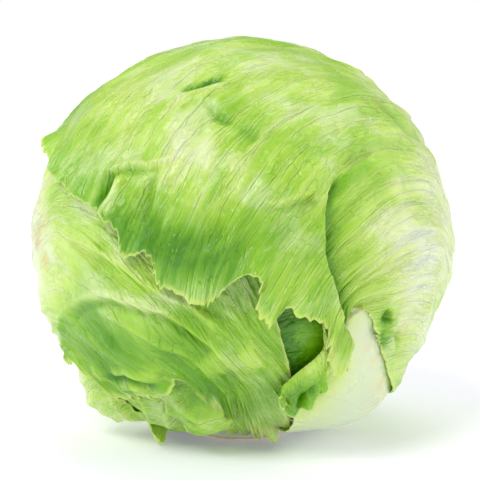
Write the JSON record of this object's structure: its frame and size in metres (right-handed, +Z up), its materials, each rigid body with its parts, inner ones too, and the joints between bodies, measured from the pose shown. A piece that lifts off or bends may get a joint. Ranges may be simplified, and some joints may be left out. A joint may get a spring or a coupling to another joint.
{
  "type": "head of lettuce",
  "caption": "Whole round head of crisp lettuce standing on its cut stem, with loose ruffled wrapper leaves folded over a tight heart.",
  "frame": {"origin": "the middle of the stem's flat cut face, on the surface that the head stands on", "axes": "+Z up along the stem, -Y towards the front where the ruffled margin of the crown wrapper leaf crosses the head, +X towards the white rib of the front rib leaf"},
  "size_m": [0.1692, 0.1664, 0.1625],
  "materials": {
    "outer_leaf": "fresh green leaf with a waxy sheen and pale veins",
    "rib_leaf": "thick white rib running into a pale green blade, waxy",
    "head_leaf": "pale yellow-green leaf, blanched near its rib",
    "heart": "pale yellow crumpled leaf",
    "stem": "white stem with a slightly browned cut face"
  },
  "bodies": {
    "root": {"crown_wrapper_leaf": "outer_leaf", "front_rib_leaf": "rib_leaf", "left_wrapper_leaf": "outer_leaf", "rear_wrapper_leaf": "outer_leaf", "lower_left_leaf": "outer_leaf", "rear_right_leaf": "outer_leaf", "lower_front_leaf": "outer_leaf", "under_front_leaf": "outer_leaf", "pocket_leaf": "outer_leaf", "head_leaf_01": "head_leaf", "head_leaf_02": "head_leaf", "head_leaf_03": "head_leaf", "head_leaf_04": "head_leaf", "head_leaf_05": "head_leaf", "head_leaf_06": "head_leaf", "head_leaf_07": "head_leaf", "head_leaf_08": "head_leaf", "head_leaf_09": "head_leaf", "heart": "heart", "stem": "stem"}
  },
  "joints": []
}
